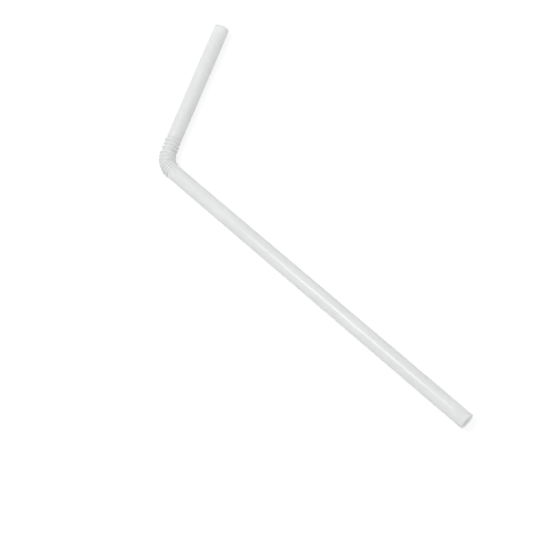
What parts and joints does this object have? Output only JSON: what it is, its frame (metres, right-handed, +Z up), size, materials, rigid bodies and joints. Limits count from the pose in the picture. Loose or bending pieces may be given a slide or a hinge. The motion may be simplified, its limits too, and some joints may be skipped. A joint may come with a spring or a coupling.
{
  "type": "bendable plastic drinking straw",
  "caption": "Thin white plastic drinking straw with a folded neck, bent and lying flat on its side.",
  "frame": {"origin": "Bottom centre of the box round the straw as it lies flat on a table.", "axes": "+X along the long leg, from the folded neck to its open end; the short leg reaches towards +Y; +Z up."},
  "size_m": [0.177, 0.0594, 0.0064],
  "materials": {
    "straw_plastic": "Milky white, slightly see-through polypropylene with a soft satin shine and faint lengthwise extrusion lines."
  },
  "bodies": {
    "root": {"bendable_straw": "straw_plastic"}
  },
  "joints": []
}
